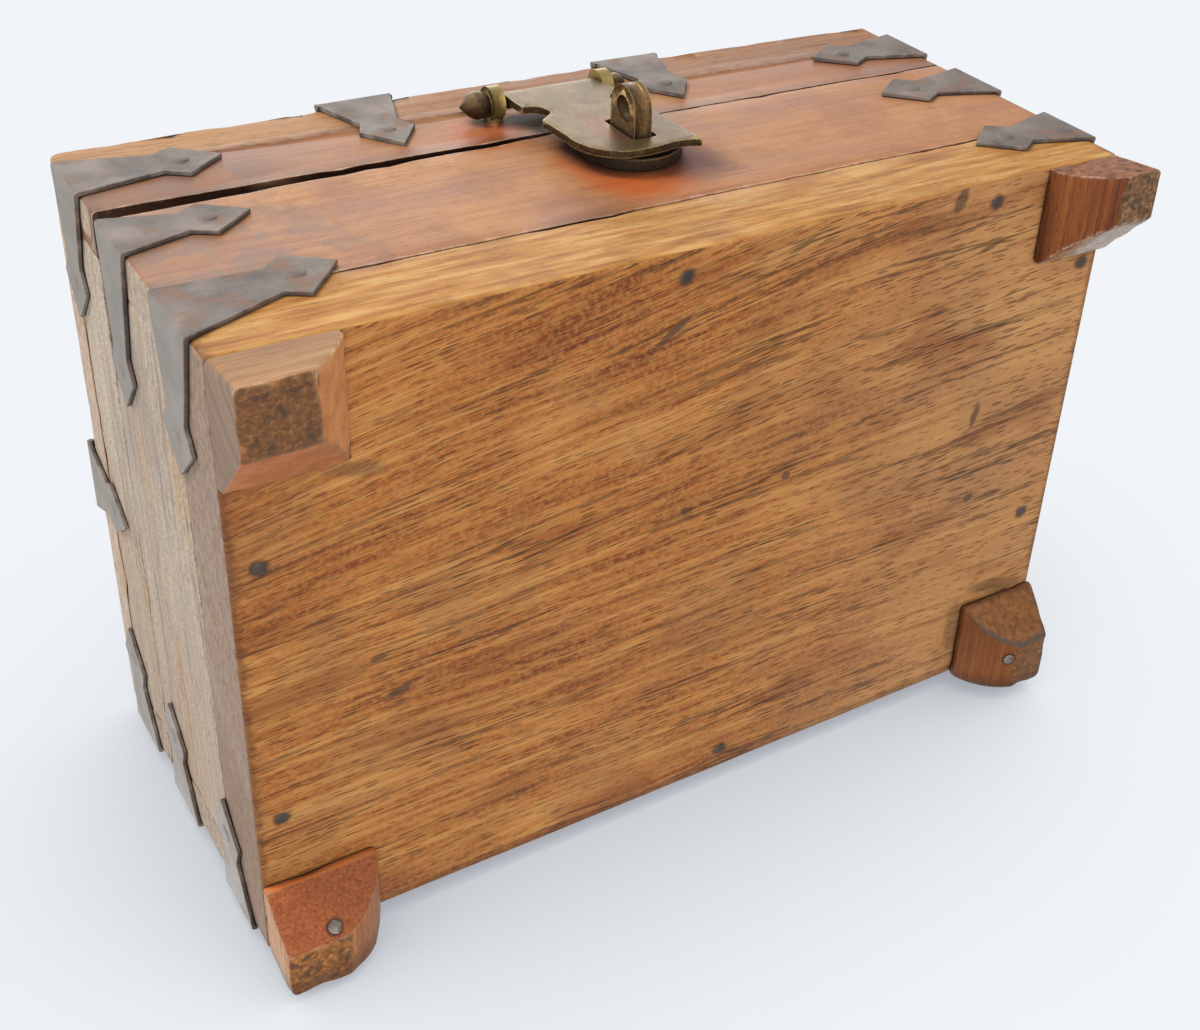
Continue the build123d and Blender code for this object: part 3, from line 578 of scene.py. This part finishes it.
def brass(name, flat, side, tarnish, rim_tone, reach, copper=None):
    """Cast brass: a smooth khaki face, dark granular sides and bright rubbed edges, with painted
    shade in its creases.
    """
    finish = Finish(name)
    cloud = finish.cloudy(0.1)
    grit = finish.cloudy(1.4, 4.0, 0.75)
    face = finish.ramp(cloud * 0.8 + grit * 0.2, (0.36, flat[0]), (0.62, flat[1]))
    cast = finish.ramp(grit, (0.36, side[0]), (0.62, side[1]))
    turned = finish.ease(abs(finish.facing_y), 0.92, 0.6)
    colour = finish.mix(turned, face, cast)
    stain = finish.ease(finish.cloudy(0.25, 5.0), 0.52, 0.7)
    colour = finish.mix(stain * 0.5, colour, tarnish)
    if copper:
        blush = finish.ease(finish.away_from(copper) + cloud * 24 - 12, 13, 5)
        colour = finish.mix(blush * 0.45, colour, paint(132, 84, 58))
    rim = finish.ease(finish.edge + grit * 0.7, 0.7, 0.35)
    colour = finish.mix(rim * 0.7, colour, rim_tone)
    # Painted shade in corners and under what stands close
    crevice_shade = finish.ease(finish.hollows(reach), 0.75, 0.3)
    colour = finish.mix(crevice_shade * 0.9, colour, paint(34, 24, 14))
    finish.give(
        Base_Color=colour,
        Metallic=0.85 - turned * 0.05 - crevice_shade * 0.2,
        Roughness=finish.ease(grit, 0.3, 0.7, 0.34, 0.48) + turned * 0.12,
        Normal=finish.bump(grit * turned * 2 + grit * 0.12 + cloud, 0.12),
    )
    return finish.material


# --- Meshes ------------------------------------------------------------------------------------
MERGE_DISTANCE = 0.002 * MM  # corners this close become one
CUT_DISTANCE = 0.01 * MM  # corners this close to a cut lie on it
TOP_BAND = 0.1 * MM  # edges this close to a square top stay sharp
FAR_AWAY = 1.0  # how far from a corner the wear looks, in metres
FLAT_ANGLE = radians(0.5)  # faces that meet at less become one
CORNER_ANGLE = radians(28)  # edges that turn more are softened
SMOOTH_ANGLE = radians(32)  # edges that turn less are shaded smooth


def joined_copy(name):
    """A copy of a CAD piece's mesh, with its loose corners joined."""
    solid = bmesh.new()
    solid.from_mesh(nodes[name].data)
    bmesh.ops.remove_doubles(solid, verts=solid.verts, dist=MERGE_DISTANCE)
    return solid


def separate(solid):
    """The vertices of each separate shell of a mesh."""
    seen = set()
    shells = []
    for first in solid.verts:
        if first in seen:
            continue
        seen.add(first)
        found = [first]
        for vert in found:
            for edge in vert.link_edges:
                other = edge.other_vert(vert)
                if other not in seen:
                    seen.add(other)
                    found.append(other)
        shells.append(found)
    return shells


def shell_middles(name):
    """The middle of each separate solid in a CAD piece, in millimetres."""
    solid = joined_copy(name)
    shells = separate(solid)
    middles = [sum((vert.co for vert in shell), Vector()) / len(shell) / MM for shell in shells]
    solid.free()
    return middles


board_nails = [(middle.x, middle.y) for middle in shell_middles("bottom_board_nails")]
finishes = {
    "bottom_wood": board_wood(board_nails),
    "front_wood": front_wood(),
    "back_wood": back_wood(),
    "end_wood": end_wood(),
    "lid_wood": lid_wood(),
    "strap_iron": iron(
        "strap_iron", paint(60, 52, 46), paint(116, 103, 93), paint(112, 82, 62), 0.08
    ),
    "hinge_iron": iron(
        "hinge_iron", paint(76, 66, 60), paint(124, 110, 100), paint(96, 64, 46), 0.08
    ),
    "nail_iron": iron(
        "nail_iron", paint(66, 55, 48), paint(108, 93, 82), paint(86, 62, 48), 0.02, 0.2
    ),
    "washer_iron": iron(
        "washer_iron", paint(60, 52, 46), paint(104, 92, 82), paint(92, 62, 44), 0.04
    ),
    "hasp_brass": brass(
        "hasp_brass",
        flat=[paint(94, 77, 52), paint(116, 97, 68)],
        side=[paint(30, 21, 11), paint(76, 57, 31)],
        tarnish=paint(108, 80, 54),
        rim_tone=paint(196, 168, 116),
        reach=3,
        copper=(1.0, -86.0, 72.0),
    ),
    "lock_brass": brass(
        "lock_brass",
        flat=[paint(104, 80, 50), paint(134, 108, 72)],
        side=[paint(76, 56, 34), paint(124, 96, 60)],
        tarnish=paint(80, 58, 36),
        rim_tone=paint(196, 164, 112),
        reach=5,
    ),
}
eye_brass = brass(
    "eye_brass",
    flat=[paint(70, 55, 26), paint(102, 84, 44)],
    side=[paint(50, 38, 17), paint(90, 72, 37)],
    tarnish=paint(72, 54, 30),
    rim_tone=paint(166, 142, 84),
    reach=3,
)
# Pieces whose finish isn't the one of their slot
own_finishes = {
    "hasp_left_eye": eye_brass,
    "hasp_right_eye": eye_brass,
    # The lock's boss: a darker copy of the lock's brass, as painted shade under the hasp, with
    # painted shade in its creases reaching far
    "lock_boss": brass(
        "shaded_lock_boss_brass",
        flat=[paint(46, 31, 17), paint(74, 53, 30)],
        side=[paint(26, 16, 8), paint(74, 51, 26)],
        tarnish=paint(52, 35, 20),
        rim_tone=paint(150, 118, 76),
        reach=16,
    ),
    "bottom_board_nails": iron(
        "board_nail_iron", paint(34, 27, 23), paint(70, 59, 50), paint(64, 42, 30), 0.06, 0.1
    ),
    "foot_nails": iron(
        "foot_nail_iron", paint(48, 42, 37), paint(104, 95, 85), paint(70, 54, 44), 0.0, 0.7
    ),
    "front_left_foot": front_left_foot_wood(),
    "front_right_foot": front_right_foot_wood(),
    "back_left_foot": back_left_foot_wood(),
    "back_right_foot": back_right_foot_wood(),
}


def corner_distance(place, creases):
    """The distance from a place to the nearest of a piece's corners, in millimetres."""
    nearest = FAR_AWAY
    for start, end in creases:
        on_line, share = geometry.intersect_point_line(place, start, end)
        if share < 0:
            on_line = start
        elif share > 1:
            on_line = end
        nearest = min(nearest, (place - on_line).length)
    return nearest / MM


# Foot nails whose heads are driven flat into a slope: where a head is and faces, and where it goes
FOOT_NAIL_SEATS = [
    ((118.0, -61.5, 4.5), (0, 0.45, -1), (117.9, -61.6, 4.3), (0, 0.668, -0.745)),
    ((-113.7, 78.8, 2.8), (0, -0.45, -1), (-113.8, 78.35, 2.1), (0, -0.763, -0.646)),
    ((114.0, 84.0, 0.2), (0, 0, -1), (109.2, 81.3, 0.9), (-0.42, 0, -0.9)),
]
# How far a head's corners lie from its middle at most, in millimetres
FOOT_NAIL_REACH = 2.4


def seat_nails(solid, seats):
    """Turn and move nail heads so that each lies flat on its slope."""
    for middle, facing, new_middle, new_facing in seats:
        middle = Vector(middle) * MM
        turn = Vector(facing).rotation_difference(Vector(new_facing)).to_matrix()
        reach = FOOT_NAIL_REACH * MM
        head = [vert for vert in solid.verts if (vert.co - middle).length < reach]
        bmesh.ops.rotate(solid, cent=middle, matrix=turn, verts=head)
        bmesh.ops.translate(solid, vec=Vector(new_middle) * MM - middle, verts=head)


CHEST_MIDDLE = Vector((0, 0, 0.06))


def drive_nails(solid, depth):
    """Drive each nail deeper, along its own length and towards the chest."""
    for nail in separate(solid):
        places = [vert.co for vert in nail]
        sizes = [max(p[i] for p in places) - min(p[i] for p in places) for i in range(3)]
        axis = sizes.index(max(sizes))
        middle = sum(places, Vector()) / len(places)
        inward = Vector((0, 0, 0))
        inward[axis] = -1 if middle[axis] > CHEST_MIDDLE[axis] else 1
        bmesh.ops.translate(solid, vec=inward * depth * MM, verts=nail)


def cut_across(solid, axis, at):
    """Cut every face that crosses a plane square to one axis, at a place in metres."""
    facing = Vector((0, 0, 0))
    facing[axis] = 1
    every = solid.verts[:] + solid.edges[:] + solid.faces[:]
    bmesh.ops.bisect_plane(
        solid, geom=every, dist=CUT_DISTANCE, plane_co=facing * at, plane_no=facing
    )


def cut_grid(solid, name, cell):
    """Cut a piece's faces into cells of about one size, in millimetres."""
    low, high = [Vector(corner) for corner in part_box(name)]
    for axis in range(3):
        span = high[axis] - low[axis]
        count = int(span / (cell * MM))
        for step in range(1, count):
            cut_across(solid, axis, low[axis] + span * step / count)


# Sizes of the wear's features, in millimetres
WORN_BAND = 2.5
DENT_SIZE = 16
CHIP_SIZE = 7
WANDER_SIZE = 18
# Moves the chips' noise, so that chips and dents don't follow each other
CHIP_SHIFT = Vector((5, 3, 1))
# Gives the edges the same wander in each run
WANDER_SEED = 7
noise.seed_set(WANDER_SEED)


def wear(solid, creases, dent, wander, nibble):
    """Dent the faces, nibble the corners and let the edges wander, with no move outwards."""
    solid.normal_update()
    layer = solid.verts.layers.float.new("edge")
    moves = []
    for vert in solid.verts:
        away = corner_distance(vert.co, creases)
        vert[layer] = away
        close = exp(-((away / WORN_BAND) ** 2))
        dip = (noise.noise(vert.co / (DENT_SIZE * MM)) + 1) / 2 * dent
        chip = noise.noise(vert.co / (CHIP_SIZE * MM) + CHIP_SHIFT)
        chip = max(0.0, chip) * nibble * close
        drift = noise.noise_vector(vert.co / (WANDER_SIZE * MM)) * wander
        drift -= vert.normal * drift.dot(vert.normal)
        moves.append((drift - vert.normal * (dip + chip)) * MM)
    for vert, move in zip(solid.verts, moves):
        vert.co += move


def worn(
    name,
    body,
    slot,
    corner,
    cell,
    dent,
    wander=0.0,
    nibble=0.0,
    segments=2,
    square_top=False,
    seats=(),
    driven=0.0,
    split_y=None,
):
    """Dress a CAD piece in a worn copy of itself, with its sizes in millimetres.

    Its corners are softened, and its faces are cut into cells and dented. Nails may be seated on
    new slopes or driven deeper, and a piece may be cut across at one y.
    """
    solid = joined_copy(name)
    bmesh.ops.dissolve_limit(
        solid, angle_limit=FLAT_ANGLE, verts=solid.verts, edges=solid.edges
    )
    seat_nails(solid, seats)
    sharp = [edge for edge in solid.edges if edge.calc_face_angle(0) > CORNER_ANGLE]
    if square_top:
        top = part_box(name)[1][2] - TOP_BAND
        sharp = [edge for edge in sharp if min(vert.co.z for vert in edge.verts) < top]
    creases = [(edge.verts[0].co.copy(), edge.verts[1].co.copy()) for edge in sharp]
    bmesh.ops.bevel(
        solid,
        geom=sharp,
        offset=corner * MM,
        offset_type="OFFSET",
        affect="EDGES",
        segments=segments,
        profile=0.5,
        material=-1,
        clamp_overlap=True,
    )
    if driven:
        drive_nails(solid, driven)
    if split_y is not None:
        cut_across(solid, 1, split_y * MM)
    if cell:
        cut_grid(solid, name, cell)
    wear(solid, creases, dent, wander, nibble)
    for face in solid.faces:
        face.smooth = True
    for edge in solid.edges:
        edge.smooth = edge.calc_face_angle(0) < SMOOTH_ANGLE
    mesh = bpy.data.meshes.new(f"worn_{name}")
    solid.to_mesh(mesh)
    solid.free()
    piece = bpy.data.objects.new(f"worn_{name}", mesh)
    scene.collection.objects.link(piece)
    mesh.materials.append(own_finishes.get(name) or finishes[slot])
    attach(piece, body)
    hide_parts(name)


# --- Pieces: corner radius, cell size and wear, in millimetres --------------------------------
worn("bottom_board", "box", "bottom_wood", corner=0.8, cell=6, dent=0.15, nibble=0.6)
worn("front_panel", "box", "front_wood", corner=0.7, cell=6, dent=0.2, nibble=0.7)
worn("back_panel", "box", "back_wood", corner=0.7, cell=6, dent=0.2, nibble=0.7)
for name in ("left_side", "right_side"):
    worn(name, "box", "end_wood", corner=0.7, cell=6, dent=0.2, nibble=0.7)
foot_wear = {"corner": 0.8, "cell": 2, "dent": 0.25, "nibble": 1.0}
worn("front_left_foot", "box", "foot_wood", square_top=True, **foot_wear)
for name in ("front_right_foot", "back_left_foot", "back_right_foot"):
    worn(name, "box", "foot_wood", **foot_wear)
worn("lid_board", "lid", "lid_wood", corner=1.0, cell=5, dent=0.3, nibble=1.0)
worn("lid_front_rail", "lid", "front_wood", corner=0.7, cell=5, dent=0.2, nibble=0.8)
worn("lid_back_rail", "lid", "back_wood", corner=0.7, cell=6, dent=0.2, nibble=0.8)
for name in ("lid_left_rail", "lid_right_rail"):
    worn(name, "lid", "end_wood", corner=0.7, cell=6, dent=0.2, nibble=0.8)

strap_wear = {"corner": 0.16, "cell": 2.5, "dent": 0.1, "wander": 0.2, "segments": 1}
nail_wear = {"corner": 0.3, "cell": None, "dent": 0.12, "wander": 0.2}
for name in nodes:
    body = "lid" if name.startswith("lid") else "box"
    if name.endswith("strap"):
        worn(name, body, "strap_iron", **strap_wear)
    elif name.endswith("strap_nails"):
        worn(name, body, "nail_iron", driven=0.3, **nail_wear)
    elif name == "foot_nails":
        worn(name, body, "nail_iron", seats=FOOT_NAIL_SEATS, **nail_wear)
    elif name.endswith("nails"):
        worn(name, body, "nail_iron", **nail_wear)

leaf_wear = {"corner": 0.25, "cell": 5, "dent": 0.06, "segments": 1}
for side in ("left", "right"):
    worn(f"{side}_hinge_lower_leaf", "box", "hinge_iron", **leaf_wear)
    worn(f"{side}_hinge_upper_leaf", "lid", "hinge_iron", **leaf_wear)
    worn(f"{side}_hinge_pin", "lid", "hinge_iron", corner=0.2, cell=None, dent=0.0)

hasp_wear = {"corner": 0.5, "cell": 3, "dent": 0.12, "nibble": 0.2, "split_y": HASP_PLATE_Y}
worn("hasp", "hasp", "hasp_brass", **hasp_wear)
for name in ("hasp_left_eye", "hasp_right_eye"):
    worn(name, "lid", "hasp_brass", corner=0.35, cell=3, dent=0.05)
washer_wear = {"corner": 0.2, "cell": None, "dent": 0.05}
worn("hasp_eye_washers", "lid", "washer_iron", **washer_wear)
worn("lock_boss", "box", "lock_brass", corner=0.5, cell=4, dent=0.15, nibble=0.3)
worn("lock_lug", "box", "lock_brass", corner=0.5, cell=3, dent=0.1, nibble=0.2)
worn("lug_washer", "box", "washer_iron", **washer_wear)

# --- Table, floor, lights ----------------------------------------------------------------------
# In metres: half a sheet's width, how far the chest's shade reaches and the gaps to the sheets
SHEET_HALF = 1.5
SHADE_REACH = 0.14
TABLE_GAP = 0.5 * MM
FLOOR_GAP = 0.1 * MM
SHADE_STRENGTH = 0.75
SHADE_TONE = paint(112, 116, 128)


def shadow_sheet(name, place, turn):
    """A pale sheet seen from one side only, and only where the chest shades it."""
    sheet = bmesh.new()
    bmesh.ops.create_grid(sheet, x_segments=1, y_segments=1, size=SHEET_HALF)
    bmesh.ops.rotate(sheet, verts=sheet.verts, matrix=Euler(turn).to_matrix())
    bmesh.ops.translate(sheet, verts=sheet.verts, vec=place)
    mesh = bpy.data.meshes.new(name)
    sheet.to_mesh(mesh)
    sheet.free()
    piece = bpy.data.objects.new(name, mesh)
    scene.collection.objects.link(piece)
    finish = Finish(name)
    reach = {"Distance": SHADE_REACH}
    shade = finish.node("ShaderNodeAmbientOcclusion", {"samples": 16}, reach, "AO")
    behind = finish.node("ShaderNodeNewGeometry", output="Backfacing")
    shaded = (1 - finish.ease(shade, 0.0, 1.0)) * (1 - behind) * SHADE_STRENGTH
    clear = finish.node("ShaderNodeBsdfTransparent")
    dark = finish.node("ShaderNodeEmission", inputs={"Color": SHADE_TONE})
    both = finish.node("ShaderNodeMixShader", inputs=[1 - shaded, dark, clear])
    outlet = finish.tree.nodes["Material Output"]
    finish.tree.links.new(both.socket, outlet.inputs["Surface"])
    mesh.materials.append(finish.material)
    piece.visible_diffuse = False
    piece.visible_glossy = False
    piece.visible_transmission = False
    piece.visible_shadow = False


table_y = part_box("left_hinge_pin")[1][1] + TABLE_GAP
shadow_sheet("table", Vector((0, table_y, 0)), (radians(90), 0, 0))
shadow_sheet("floor", Vector((0, 0, -FLOOR_GAP)), (0, 0, 0))


def lamp(name, place, size, power):
    """A soft square lamp that faces the chest."""
    light = bpy.data.lights.new(name, "AREA")
    light.size = size
    light.energy = power
    stand = bpy.data.objects.new(name, light)
    stand.location = place
    aim = CHEST_MIDDLE - Vector(place)
    stand.rotation_euler = aim.to_track_quat("-Z", "Y").to_euler()
    scene.collection.objects.link(stand)


lamp("window", (-0.7, -1.15, 0.45), size=0.4, power=15)
lamp("room_below", (-0.25, -0.75, -1.15), size=1.2, power=18)
lamp("wall", (-1.2, 0.1, 0.1), size=1.0, power=5)
lamp("room_above", (0.3, -0.4, 1.4), size=1.2, power=9)
lamp("room_behind", (-0.6, 1.3, 0.5), size=1.2, power=10)

# The room's light falls on the chest. The camera and the reflections see a pale backdrop.
world = bpy.data.worlds.new("room")
scene.world = world
world.use_nodes = True
surround = world.node_tree
backdrop = surround.nodes.new("ShaderNodeBackground")
backdrop.inputs["Color"].default_value = paint(241, 244, 248)
room_light = surround.nodes["Background"]
room_light.inputs["Color"].default_value = paint(246, 249, 255)
room_light.inputs["Strength"].default_value = 0.62
path = surround.nodes.new("ShaderNodeLightPath")
seen = path.outputs["Is Camera Ray"]
for ray in ("Is Glossy Ray", "Is Transmission Ray"):
    either = surround.nodes.new("ShaderNodeMath")
    either.operation = "MAXIMUM"
    surround.links.new(seen, either.inputs[0])
    surround.links.new(path.outputs[ray], either.inputs[1])
    seen = either.outputs[0]
choice = surround.nodes.new("ShaderNodeMixShader")
surround.links.new(seen, choice.inputs[0])
surround.links.new(room_light.outputs[0], choice.inputs[1])
surround.links.new(backdrop.outputs[0], choice.inputs[2])
surround.links.new(choice.outputs[0], surround.nodes["World Output"].inputs["Surface"])
